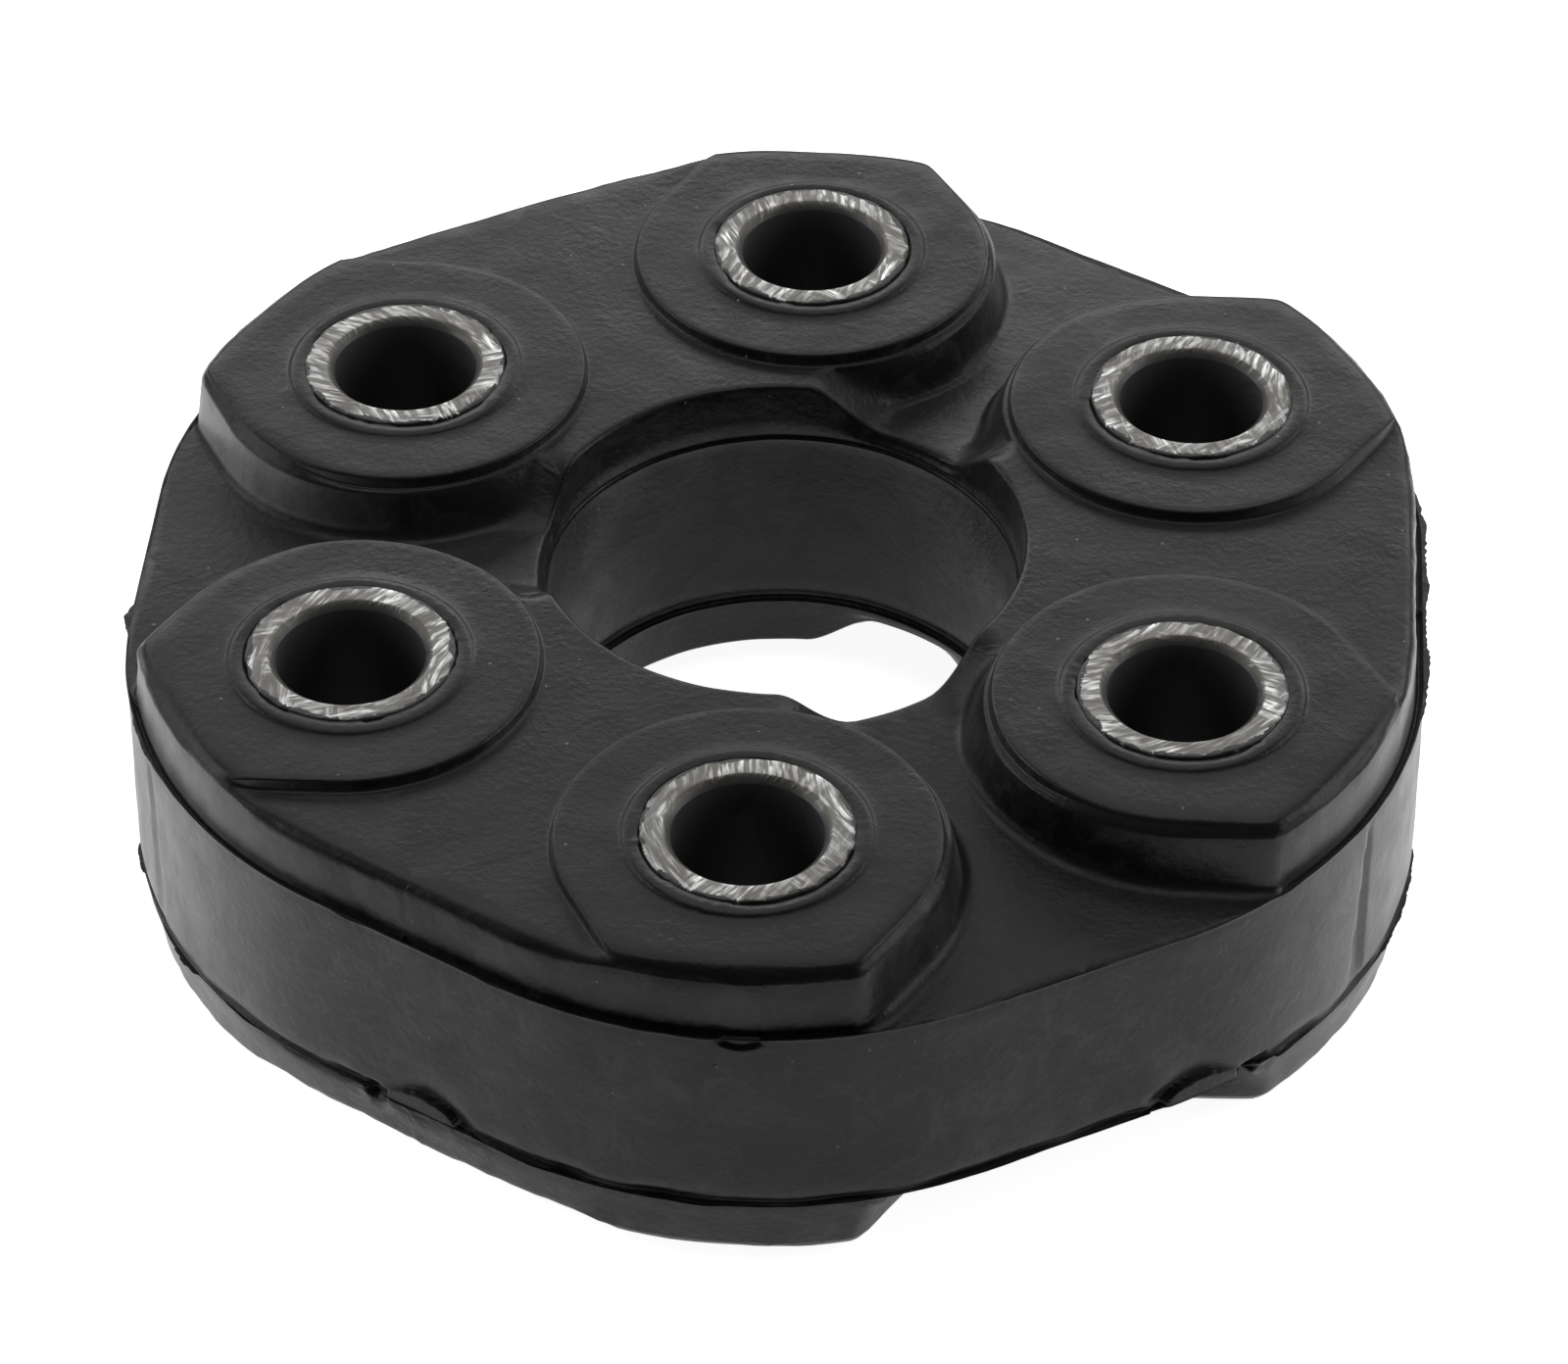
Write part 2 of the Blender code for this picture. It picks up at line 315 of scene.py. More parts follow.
def rubberMaterial():
    made, tree, shader = newMaterial("mouldedRubber", Specular_IOR_Level=0.25, Sheen_Weight=0.08,
                                     Sheen_Roughness=0.36)
    look = rubberFinish
    place = objectPlace(tree)
    apart = addNode(tree, "ShaderNodeSeparateXYZ", Vector=place)
    grain = placeGroup(tree, "grain", place, Grain_Scale=1500.0, Wave_Scale=260.0, Wave_Share=0.7)
    dust = placeGroup(tree, "dust", place, Speck_Scale=850.0, Amount=0.8)
    smear = rangeNode(tree, noiseNode(tree, place, look["smearScale"], 8.0, 0.68, 0.8), 0.34, 0.66)
    # Painted light: the tone is darker across the middle and lighter towards the disc's sides
    fromMiddle = mathNode(tree, 'SUBTRACT', apart.outputs["X"], look["paintedShadeMiddle"] * mm)
    aside = mathNode(tree, 'ABSOLUTE', fromMiddle)
    sides = rangeNode(tree, aside, look["sideStart"] * mm, look["sideEnd"] * mm)
    share = plus(tree, times(tree, smear, 0.6), times(tree, sides, 0.5))
    tone = mixColour(tree, share, look["dark"], look["light"])
    normal = tree.nodes.new("ShaderNodeNewGeometry").outputs["Normal"]
    facing = addNode(tree, "ShaderNodeSeparateXYZ", Vector=normal)
    upright = rangeNode(tree, mathNode(tree, 'ABSOLUTE', facing.outputs["Z"]), 0.25, 0.6, 1.0, 0.0)
    streaks = addNode(tree, "ShaderNodeMapping", {"vector_type": 'POINT'}, Vector=place,
                      Scale=(1.0, 1.0, look["streakLength"]))
    streaked = noiseNode(tree, streaks.outputs[0], look["streakScale"], 6.0, 0.62, 0.8)
    streaked = rangeNode(tree, streaked, 0.25, 0.75, 0.68, 1.0)
    # Painted sheen: a pale reflection painted on the walls near the disc's far sides, broken into streaks
    edge = rangeNode(tree, aside, look["paintedSheenStart"] * mm, look["paintedSheenEnd"] * mm)
    sheenAndBlotches = times(tree, times(tree, edge, upright), streaked)
    mottled = noiseNode(tree, place, look["mottleScale"], 8.0, 0.7, 1.1)
    mottled = rangeNode(tree, mottled, 0.44, 0.72, 0.0, look["mottle"])
    sheenAndBlotches = plus(tree, sheenAndBlotches, times(tree, mottled, upright))
    tone = mixColour(tree, sheenAndBlotches, tone, look["sheenAndBlotchTone"])
    speckled = mixColour(tree, dust.outputs["Mask"], tone, look["dust"])
    uneven = plus(tree, times(tree, grain.outputs["Tone"], 0.4), times(tree, smear, 0.6))
    rough = rangeNode(tree, uneven, 0.0, 1.0, look["roughHigh"], look["roughLow"])
    feedInputs(tree, shader, Base_Color=speckled, Roughness=rough)
    bumpInto(tree, shader, grain.outputs["Height"], look["grainDepth"])
    return made


rubberMade = rubberMaterial()
print("rubber finish ready")

# Moulded rubber body
rubber = {
    "boltCircle": 39.0, "holeRadius": 19.7, "holeRound": 0.55, "holeDraft": 0.6,
    "cornerReach": 56.1, "cornerRadius": 39.0, "bandHalf": 9.0,
    "thinCrown": 1.6, "thinRun": 33.0,
    "sleeveHole": 8.63, "lipRadius": 10.0, "lipTop": 15.64, "faceTop": 15.25,
    "tornGap": 0.14, "tightFit": 0.24,   # the lip's torn edge at the sleeve
    "bossRadius": 15.5, "flatReach": 15.3, "flatHalf": 9.3, "bossRound": 0.7,
    "bossEdge": 0.32, "bossGap": 0.06, "bossFoot": 0.36, "bossToCap": 0.55,
    "thickTop": 14.2, "wallSetback": 0.9, "edgeRound": 1.4, "edgeShare": 0.36,
    "wallDraft": 0.12, "wallFlare": 0.04, "planRound": 0.3, "grooveDepth": 0.58,
    "shelf": 0.8, "shelfEdge": 0.5, "shelfSoft": 0.85, "shelfCornerHalf": 10.0, "slopeInset": 0.55,
    "pastSleeve": 3.0, "pocketDraft": 0.5, "pocketFoot": 1.3, "holeSideSlope": 1.6,
    "stepTop": 2.2, "stepFoot": 2.6, "stepBlend": 0.9,   # the softer step down at the hole
    "waves": [(0.16, 0.07), (0.05, 0.3)], "wallBumps": (0.12, 1.1),   # height and scale of uneven moulding
}
arcCentre = rubber["cornerReach"] - rubber["cornerRadius"]
holeRim = rubber["holeRadius"] + rubber["holeDraft"] + rubber["holeRound"]


def outlineDistance(angle, setback):
    # Distance from a sleeve's axis to the disc's outline, along a direction from straight outward
    radius = rubber["cornerRadius"] - setback
    ahead = rubber["boltCircle"] - arcCentre
    cosine, sine = np.cos(angle), np.sin(angle)
    arcHit = -ahead * cosine + np.sqrt((ahead * cosine) ** 2 - ahead ** 2 + radius ** 2)
    hitTurn = np.arctan2(np.abs(arcHit * sine), ahead + arcHit * cosine)
    flank = arcCentre * math.cos(halfLink) + radius
    facing, least = np.cos(np.abs(angle) - halfLink), 0.05
    flankHit = (flank - rubber["boltCircle"] * math.cos(halfLink)) / np.maximum(facing, least)
    flankHit = np.where(facing > least, flankHit, farOff)
    return np.where(hitTurn <= halfLink, arcHit, flankHit)


def midLineDistance(angle, side):
    # Distance to the middle line of the thin link (side 1) or of the thick link (side -1)
    across = side * np.sin(angle) * math.cos(halfLink) - np.cos(angle) * math.sin(halfLink)
    away, least = rubber["boltCircle"] * math.sin(halfLink), 1e-3
    return np.where(across > least, away / np.maximum(across, least), farOff)


def holeDistance(angle):
    reach = rubber["boltCircle"]
    inside = (reach * np.cos(angle)) ** 2 - reach ** 2 + holeRim ** 2
    hit = -reach * np.cos(angle) - np.sqrt(np.maximum(inside, 0))
    return np.where((inside > 0) & (np.cos(angle) < 0), hit, farOff)


steepest = 1.3   # radians from a line's own direction where its distance stops growing


def bossDistance(angle):
    # The boss's edge: a circle and a flat, joined by tangents, its corners softened
    radius, reach, half = rubber["bossRadius"], rubber["flatReach"], rubber["flatHalf"]
    corner = math.hypot(reach, half)
    tangent = math.atan2(half, reach) + math.acos(radius / corner)
    turn = np.abs(angle)
    side = radius / np.cos(np.clip(tangent - turn, 0, steepest))
    flat = np.where(turn < steepest, reach / np.cos(np.minimum(turn, steepest)), farOff)
    return softMin(flat, side, rubber["bossRound"])


def capDistance(angle, offset):
    # The edge of the raised thick link: the outline, the shelf round the boss, the turn to the hole
    size = rubber
    outer = outlineDistance(angle, size["wallSetback"] - offset)
    shelfRadius = size["bossRadius"] + size["shelf"]
    radius = size["cornerRadius"] - size["wallSetback"]
    cornerReach = (size["cornerReach"] - size["cornerRadius"] - size["boltCircle"]
                   + math.sqrt(radius ** 2 - size["shelfCornerHalf"] ** 2))
    corner = math.hypot(cornerReach, size["shelfCornerHalf"])
    tangent = math.atan2(size["shelfCornerHalf"], cornerReach) + math.acos(shelfRadius / corner)
    side = (shelfRadius + offset) / np.cos(np.clip(tangent - angle, 0, steepest))
    across = (size["pastSleeve"] + offset * size["holeSideSlope"]) / np.maximum(np.sin(angle), 1e-3)
    turned = softMax(side, np.minimum(across, 80), size["planRound"])
    side = np.where(angle > math.pi / 2, turned, side)
    side = np.where(angle > 0.2, side, farOff)
    return softMin(np.minimum(outer, 90), np.minimum(side, 90), size["planRound"])


def outlineDepth(x, y):
    # How far inside the disc's outline a point lies, measured from the sleeve's own axes
    ahead = x + rubber["boltCircle"] - arcCentre
    radial = rubber["cornerRadius"] - np.hypot(ahead, y)
    flank = rubber["cornerRadius"] - (ahead * math.cos(halfLink) + np.abs(y) * math.sin(halfLink))
    return np.where(np.arctan2(np.abs(y), ahead) <= halfLink, radial, flank)


def thinLevel(x, y):
    share = np.clip(outlineDepth(x, y) / rubber["thinRun"], 0, 1)
    return rubber["bandHalf"] + rubber["thinCrown"] * share


def stepLevel(x, y, ease):
    # Height of the step from the thick link down to the thin one, softer as ease goes to 1 at the hole
    size = rubber
    shelf = np.hypot(x, y) - size["bossRadius"] - size["shelf"]
    out = softMin(shelf, y - size["pastSleeve"], size["stepBlend"])
    top = between(size["shelfEdge"], size["stepTop"], ease)
    foot = size["pocketDraft"] + size["pocketFoot"] + (size["stepFoot"] - size["pocketDraft"]) * ease
    share = smoothStep(0, 1, (out + top) / (top + foot))
    return between(size["thickTop"], thinLevel(x, y), share)


def spacedTurns(low, high, step, dense):
    # Turns from low to high, closer together near each (place, width, step) in dense
    fine = np.linspace(low, high, 4000)
    spacing = np.full_like(fine, step)
    for place, width, closeStep in dense:
        near = np.exp(-((fine - place) / width) ** 2)
        spacing = spacing * (1 - near) + closeStep * near
    count = np.concatenate([[0], np.cumsum((fine[1] - fine[0]) / spacing[:-1])])
    steps = max(2, int(round(count[-1])))
    return np.interp(np.linspace(0, count[-1], steps + 1), count, fine)


def outlineRadius(turn):
    # The outline's distance from the disc's axis, by the turn from the nearest sleeve
    turn, half, radius = np.abs(turn), halfLink, rubber["cornerRadius"]
    arcPart = arcCentre * np.cos(turn) + np.sqrt(radius ** 2 - (arcCentre * np.sin(turn)) ** 2)
    flank = arcCentre * math.cos(half) + radius
    arcEnd = math.atan2(radius * math.sin(half), flank * math.cos(half) + arcCentre * math.sin(half) ** 2)
    return np.where(turn <= arcEnd, arcPart, flank / np.cos(half - turn))


def rayAngles():
    # Directions round one sleeve: to the outline, the thin middle line, the hole, the thick middle line
    half, reach = halfLink, rubber["boltCircle"]
    cornerTurn = math.atan2(rubber["shelfCornerHalf"], rubber["cornerReach"] - 1)
    outer = spacedTurns(-half, half, 0.022, [(cornerTurn, 0.02, 0.006)])
    stepTurn = math.asin(rubber["pastSleeve"] / holeRim)
    inner = spacedTurns(-half, half, 0.04, [(stepTurn, 0.15, 0.014)])
    # Points on the middle lines stand close together where the thick link's wall crosses them
    fromWall = [-0.17, -0.125, -0.08, -0.04, 0.02, 0.1, 0.25, 0.45, 0.7, 1.0, 1.35, 1.8, 2.5]
    inward = [0.22, 0.45, 0.62] + [rubber["wallSetback"] + away for away in fromWall]
    flankRadius = float(outlineRadius(half))
    along = np.concatenate([flankRadius - np.array(inward),
                            np.linspace(flankRadius - inward[-1], holeRim, 16)[1:-1]])

    def direction(radius, turn):
        return np.arctan2(radius * np.sin(turn), radius * np.cos(turn) - reach)

    outline = direction(outlineRadius(outer), outer)
    thin = direction(along, half)
    hole = direction(holeRim, inner[::-1])
    hole = np.where(hole < 0, hole + 2 * math.pi, hole)
    thick = 2 * math.pi - thin[::-1]
    turns = np.concatenate([outline, thin, hole, thick])
    return turns, len(outline), len(thin), len(hole)


def gatherAtEdge(distance, height, reach):
    # Rings past the cell's edge gather on it, at the height the section has there
    for row, edge in enumerate(reach):
        edgeHeight = np.interp(edge, distance[row], height[row])
        past = distance[row] > edge
        height[row][past] = edgeHeight
        distance[row][past] = edge


def slopeAtFlat(rings, angle, boss, cap, capEdge, room):
    # At the boss's flat and along the thin side's shelf, one soft slope runs down into the wall
    close = smoothStep(2.3, 1.5, room) * smoothStep(0.7, 0.56, np.abs(angle))
    soft = rubber["shelfSoft"] * smoothStep(0.5, 0.62, angle) * smoothStep(1.9, 1.5, angle)
    close = np.maximum(close, soft)
    low, start = rubber["thickTop"] - capEdge, boss - rubber["bossEdge"] - rubber["slopeInset"]
    sloped = []
    for away, level in rings:
        share = np.clip((away - start) / (cap - start), 0, 1)
        straight = between(low, rubber["faceTop"], (1 - share ** 2.0) ** 0.85)
        sloped.append((away, between(level, straight, close)))
    return sloped


def spreadFreeRings(distance, firstFree, past, reach):
    # Where the thick link runs on past the cell's edge, the free rings spread evenly over it
    start = distance[:, firstFree - 1]
    shares = np.linspace(0, 1, distance.shape[1] - firstFree + 1)[1:]
    even = start[:, None] + (reach - start)[:, None] * shares[None, :]
    distance[:, firstFree:] = between(distance[:, firstFree:], even, smoothStep(1.6, 5.0, past)[:, None])


def rubberCell(grooveDepth):
    # Points of the upper face round one sleeve, in the sleeve's own axes: X outward, Y to the thin link
    size = rubber
    turns, outlineCount, thinCount, holeCount = rayAngles()
    angle = np.where(turns > math.pi, turns - 2 * math.pi, turns)
    reach = np.minimum.reduce([outlineDistance(angle, 0), midLineDistance(angle, 1),
                               midLineDistance(angle, -1), holeDistance(angle)])
    cap = capDistance(angle, 0.0)
    boss = softMin(bossDistance(angle), cap - size["bossToCap"], 0.1)
    room = np.maximum(cap - boss, 0.3)
    thinSide = smoothStep(math.radians(30), math.radians(36), angle) * (angle > 0)
    rings = []

    def ring(distance, height):
        rings.append((distance + 0 * angle, height + 0 * angle))

    hole, lip, lipTop, face = size["sleeveHole"], size["lipRadius"], size["lipTop"], size["faceTop"]
    for distance, height in ((hole, 0), (hole, lipTop - 0.35), (hole + 0.07, lipTop - 0.12),
                             (hole + 0.25, lipTop - 0.02), (lip - 0.5, lipTop), (lip - 0.22, lipTop - 0.06),
                             (lip - 0.04, lipTop - 0.2), (lip + 0.1, face + 0.06), (lip + 0.4, face)):
        ring(distance, height)
    faceStart = len(rings) - 1
    edge, foot = size["bossEdge"], np.minimum(size["bossFoot"], 0.4 * room)
    for share in (0.22, 0.45, 0.68, 0.88):
        ring(lip + 0.4 + (boss - edge - lip - 0.4) * share, face)
    for aside, down in arcShares((0, 25, 50, 68, 82)):
        ring(boss - edge * aside, face - edge * down)
    thickTop = size["thickTop"]
    for aside, up in arcShares((75, 55, 35, 15, 0)):
        ring(boss + size["bossGap"] + foot * aside, thickTop + foot * up)
    footEnd = boss + size["bossGap"] + foot
    capEdge = np.minimum(between(size["edgeRound"], size["shelfEdge"], thinSide), size["edgeShare"] * room)
    capStart = cap - capEdge
    firstFree = len(rings)
    for share in (0.2, 0.45, 0.72):
        ring(between(footEnd, capStart, share), thickTop)
    spare = np.maximum(outlineDistance(angle, 0) - cap, 0.2)
    draft = np.minimum(between(size["wallDraft"], size["pocketDraft"], thinSide), 0.35 * spare)
    flare = np.minimum(between(size["wallFlare"], size["pocketFoot"], thinSide), 0.45 * spare)
    for aside, down in arcShares((0, 22, 45, 66, 84)):
        ring(cap - capEdge * aside, thickTop - capEdge * down)
    rings[faceStart:] = slopeAtFlat(rings[faceStart:], angle, boss, cap, capEdge, room)

    def levelAt(distance):
        return thinLevel(distance * np.cos(angle), distance * np.sin(angle))

    wallEnd = capDistance(angle, draft)
    wallLow = levelAt(wallEnd) + flare
    for share in (0.35, 0.75):
        ring(between(cap, wallEnd, share), thickTop - capEdge + (wallLow - thickTop + capEdge) * share)
    # The groove starts in the wall's foot, and each fall is a share of its depth
    groove = grooveDepth * (1 - thinSide)
    for (aside, up), fall in zip(arcShares((90, 68, 45, 22, 0)), (0.0, 0.06, 0.14, 0.24, 0.36)):
        distance = capDistance(angle, draft + flare * aside)
        ring(distance, levelAt(distance) + flare * up - groove * fall)
    feet = rings[-1][0]
    for share, fall in ((0.12, 0.62), (0.26, 0.88), (0.42, 1.0), (0.62, 0.5), (0.82, 0.08), (1.0, 0.0)):
        distance = between(feet, reach, share)
        ring(distance, levelAt(distance) - groove * fall)
    distance = np.array([item[0] for item in rings]).T
    height = np.array([item[1] for item in rings]).T
    distance = np.maximum.accumulate(distance, axis=1)
    gatherAtEdge(distance, height, reach)
    spreadFreeRings(distance, firstFree, cap - reach, reach)
    x, y = distance * np.cos(angle)[:, None], distance * np.sin(angle)[:, None]
    # The step down to the thin link eases towards the hole
    ease = smoothStep(25.5, 21.5, np.hypot(x + size["boltCircle"], y))
    inner = (smoothStep(math.radians(112), math.radians(140), angle) * (angle > 0))[:, None]
    inner = inner * smoothStep(0, 0.3, distance - footEnd[:, None])
    height = between(height, stepLevel(x, y, ease), inner)
    holeFirst = outlineCount + thinCount
    return np.stack([x, y, height], -1), slice(0, outlineCount), slice(holeFirst, holeFirst + holeCount)


bandSection = [   # setback and height of the band under the upper parting line
    (-0.02, 8.96), (0.03, 8.90), (0.05, 8.78), (0.03, 8.5), (0.0, 8.1), (0.0, 7.4), (0.0, 6.2),
    (0.0, 4.6), (0.0, 3.0), (0.0, 1.4), (0.0, 0.0)]
lowerBandSection = [   # the same at the lower line, where the band dips in behind a sharp lip
    (-0.06, 8.95), (0.12, 8.88), (0.42, 8.80), (0.46, 8.66), (0.33, 8.46), (0.19, 8.25), (0.09, 8.0),
    (0.02, 7.7), (0.0, 6.6), (0.0, 4.6), (0.0, 2.4), (0.0, 0.0)]
holeSection = [   # widening and height of the hole's wall, from above the upper line down
    (0.2, 9.55), (0.34, 9.26), (0.3, 9.1), (0.0, 9.0), (0.1, 8.92), (0.2, 8.6), (0.27, 7.8), (0.28, 5.0),
    (0.28, 2.5), (0.28, 0.0)]
lowerHoleSection = [
    (0.1, 9.6), (0.06, 9.25), (0.03, 9.08), (0.02, 9.0), (0.42, 8.9), (0.62, 8.66), (0.52, 8.2), (0.36, 7.6),
    (0.28, 6.4), (0.28, 0.0)]


def wallRow(turn, radius, level):
    return np.stack([radius * np.cos(turn), radius * np.sin(turn), level + 0 * turn], -1)


def rubberPoints():
    # Every grid of the body in the disc's own axes, with its faces
    cell, outlineRays, holeRays = rubberCell(rubber["grooveDepth"])
    lowerCell = rubberCell(0.0)[0]
    reach, lift, rim = rubber["boltCircle"], rubber["holeRound"], rubber["holeRadius"]
    onDisc = cell + np.array([reach, 0, 0])
    lowerDisc = lowerCell + np.array([reach, 0, 0])
    band = onDisc[outlineRays, -1]
    bandTurn = np.arctan2(band[:, 1], band[:, 0])
    holeEdge = onDisc[holeRays, -1]
    holeTurn = np.arctan2(holeEdge[:, 1], holeEdge[:, 0])
    holeRows = [holeEdge]
    for aside, down in arcShares((18, 36, 54, 72, 90)):
        radius = rim + rubber["holeDraft"] + lift * aside
        holeRows.append(wallRow(holeTurn, radius, holeEdge[:, 2] - lift * down))
    wallTop = holeRows[-1][:, 2]

    def holeGrid(section):
        rows = list(holeRows)
        wider, level = section[0]
        levels = [(between(rubber["holeDraft"], wider, share), between(wallTop, level, share))
                  for share in (0.33, 0.67)]
        for wider, level in levels + section:
            rows.append(wallRow(holeTurn, rim + wider, np.minimum(level, wallTop)))
        return np.stack(rows, 1)

    points, faces, count = [], [], 0
    for number in sleeveNumbers:
        turn = sleeveAngle(number)
        mirrored = -1 if number % 2 == 0 else 1
        for side in (1, -1):
            section = bandSection if side > 0 else lowerBandSection
            inside = holeGrid(holeSection if side > 0 else lowerHoleSection)
            bandRows = [band]
            for setback, level in section:
                bandRows.append(wallRow(bandTurn, outlineRadius(bandTurn) - setback, level))
            face = onDisc if side > 0 else lowerDisc
            for grid, ring in ((face, True), (np.stack(bandRows, 1), False), (inside, False)):
                rows, columns = grid.shape[:2]
                x, y = grid[..., 0], grid[..., 1] * mirrored
                placed = np.stack([x * math.cos(turn) - y * math.sin(turn),
                                   x * math.sin(turn) + y * math.cos(turn), grid[..., 2] * side], -1)
                points.append(placed.reshape(-1, 3))
                faces += gridFaces(rows, columns, count, rowsClosed=ring, columnsClosed=False)
                count += rows * columns
    return np.concatenate(points), faces


bandMarks = {
    "notch": {"turn": 270.6, "halfWidth": 1.75, "top": 8.85, "height": 0.85, "depth": 0.4},
    "witness": {"turn": 270.6, "halfWidth": 1.9, "width": 0.3, "depth": 0.06},
    # Half discs that stand up over the lower line; lean points to the side that the notch is on
    "tabs": [{"turn": 241.3, "half": 3.6, "rise": 1.8, "proud": 0.03, "dip": 0.7, "lean": -1},
             {"turn": 312.2, "half": 3.6, "rise": 1.85, "proud": 0.03, "dip": 0.8, "lean": 1}],
    "tabNotch": {"aside": 4.5, "half": 1.25, "down": 0.95, "depth": 0.85},
    "dipShare": (0.8, 0.5),   # how deep the lower dip is, and how much that varies
    "lowerSwell": 0.86,   # how far the lower cap's wall stands out towards its lip
    # Soft upright seams; top and bottom are half widths at the band's edges
    "seams": [{"turn": 331.3, "top": 0.25, "bottom": 1.15, "lean": 0.05, "depth": 0.4},
              {"turn": 207.5, "top": 0.4, "bottom": 0.9, "lean": -0.03, "depth": 0.2},
              {"turn": 91.0, "top": 0.7, "bottom": 0.5, "lean": 0.0, "depth": 0.14}],
    "patches": [   # turn, half width and depth of the dents over the lower line
        (255.6, 1.5, 0.3), (263.5, 2.2, 0.16), (233.5, 2.4, 0.22), (236.3, 0.8, 0.35),
        (317.6, 1.8, 0.32), (323.0, 2.4, 0.2)],
}
markRadius = rubber["cornerReach"] - 1   # where lengths along the band are measured
lowerDip = tuple(zip(*[(height, setback) for setback, height in reversed(lowerBandSection)]))


def notchDepth(turn, height):
    # The small notch under the upper line, between two faint upright lines
    notch, witness = bandMarks["notch"], bandMarks["witness"]
    across = alongRim(turn, notch["turn"], markRadius) / notch["halfWidth"]
    down = (notch["top"] - height) / notch["height"]
    lens = smoothStep(0, 0.35, 1 - across ** 2 - np.clip(down, 0, 2) ** 2) * (down > -0.05)
    depth = notch["depth"] * lens
    for side in (-1, 1):
        across = alongRim(turn, witness["turn"], markRadius) - side * witness["halfWidth"]
        line = np.exp(-(across / witness["width"]) ** 2)
        depth += witness["depth"] * line * smoothStep(-2.5, 3.0, height) * (height < notch["top"])
    return depth


def withTab(depth, tab, turn, height, ownDip):
    # A half disc over the lower line, and the dip round it, deeper on the side away from its notch
    across, rise = alongRim(turn, tab["turn"], markRadius), height + rubber["bandHalf"]
    beyond = (np.hypot(across / tab["half"], rise / tab["rise"]) - 1) * tab["rise"]
    shaded = 1 - smoothStep(-0.4, 1.05, across * tab["lean"] / tab["half"])
    dip = tab["dip"] * np.exp(-(np.maximum(beyond, 0) / 0.95) ** 2) * (0.15 + 0.85 * shaded)
    inside = smoothStep(0.07, -0.07, beyond)
    lipFlat = -tab["proud"] * smoothStep(-1.4, -0.1, beyond) - ownDip
    onTab = smoothStep(-0.5, 0.1, rise)
    return depth + (np.maximum(dip - ownDip, 0) * (1 - inside) * onTab
                    + (lipFlat - depth) * inside * onTab)


def bandDepth(turn, height):
    # How far the band's surface lies under its plain outline, by turn in degrees and height
    depth = notchDepth(turn, height)
    for seam in bandMarks["seams"]:
        halfWidth = np.interp(height, [-9, 9], [seam["bottom"], seam["top"]])
        across = np.abs(alongRim(turn, seam["turn"], markRadius) - seam["lean"] * height) / halfWidth
        depth += seam["depth"] * smoothStep(1.1, 0.65, across) * smoothStep(8.9, 6.5, np.abs(height))
    low, spread = bandMarks["dipShare"]
    varied = np.array([noise.noise(Vector((math.cos(place) * 9, math.sin(place) * 9, 4.0)))
                       for place in np.radians(turn)])
    ownDip = np.where(height < 0, np.interp(-height, *lowerDip), 0) * (np.abs(height) < 8.97)
    depth += ownDip * (np.clip(low + spread * varied * 2, 0.25, 1.3) - 1)
    for tab in bandMarks["tabs"]:
        depth = withTab(depth, tab, turn, height, ownDip)
    for place, width, deep in bandMarks["patches"]:
        across, rise = alongRim(turn, place, markRadius) / width, height + rubber["bandHalf"]
        depth += deep * smoothStep(1.0, 0.5, np.abs(across)) * smoothStep(1.35, 0.7, rise) * (rise > 0.06)
    return depth


def refineBand(bm, place, half, heightLow, heightHigh, cuts):
    # Finer faces where a mark on the band needs them
    edges = set()
    for face in bm.faces:
        centre = face.calc_center_median() / mm
        radius = math.hypot(centre.x, centre.y)
        if radius < 51 or not heightLow < centre.z < heightHigh or abs(face.normal.z) > 0.8:
            continue
        if place - half < math.degrees(math.atan2(centre.y, centre.x)) % 360 < place + half:
            edges.update(face.edges)
    bmesh.ops.subdivide_edges(bm, edges=list(edges), cuts=cuts, use_grid_fill=True)


def lowerWallGrowth(turn, radius, plain, height):
    # How far the lower cap's wall stands out to the lip, less the notches beside the half discs
    swell, cut = np.full_like(turn, bandMarks["lowerSwell"]), np.zeros_like(turn)
    notch = bandMarks["tabNotch"]
    below = (-rubber["bandHalf"] - height) / notch["down"]
    for tab in bandMarks["tabs"]:
        across = alongRim(turn, tab["turn"], radius)
        swell = np.maximum(swell, smoothStep(tab["half"] + 0.2, tab["half"] - 0.6, np.abs(across)))
        aside = (across * tab["lean"] - notch["aside"]) / notch["half"]
        mask = smoothStep(1.0, 0.55, np.hypot(aside, np.maximum(below, 0)))
        cut = np.maximum(cut, mask * smoothStep(-1.0, -0.2, below))
    nearWall = plain - radius < 1.9
    under = smoothStep(-13.2, -9.4, height) * (height < -8.99) * nearWall
    return swell * under * np.maximum(plain - radius, 0) - cut * notch["depth"] * nearWall


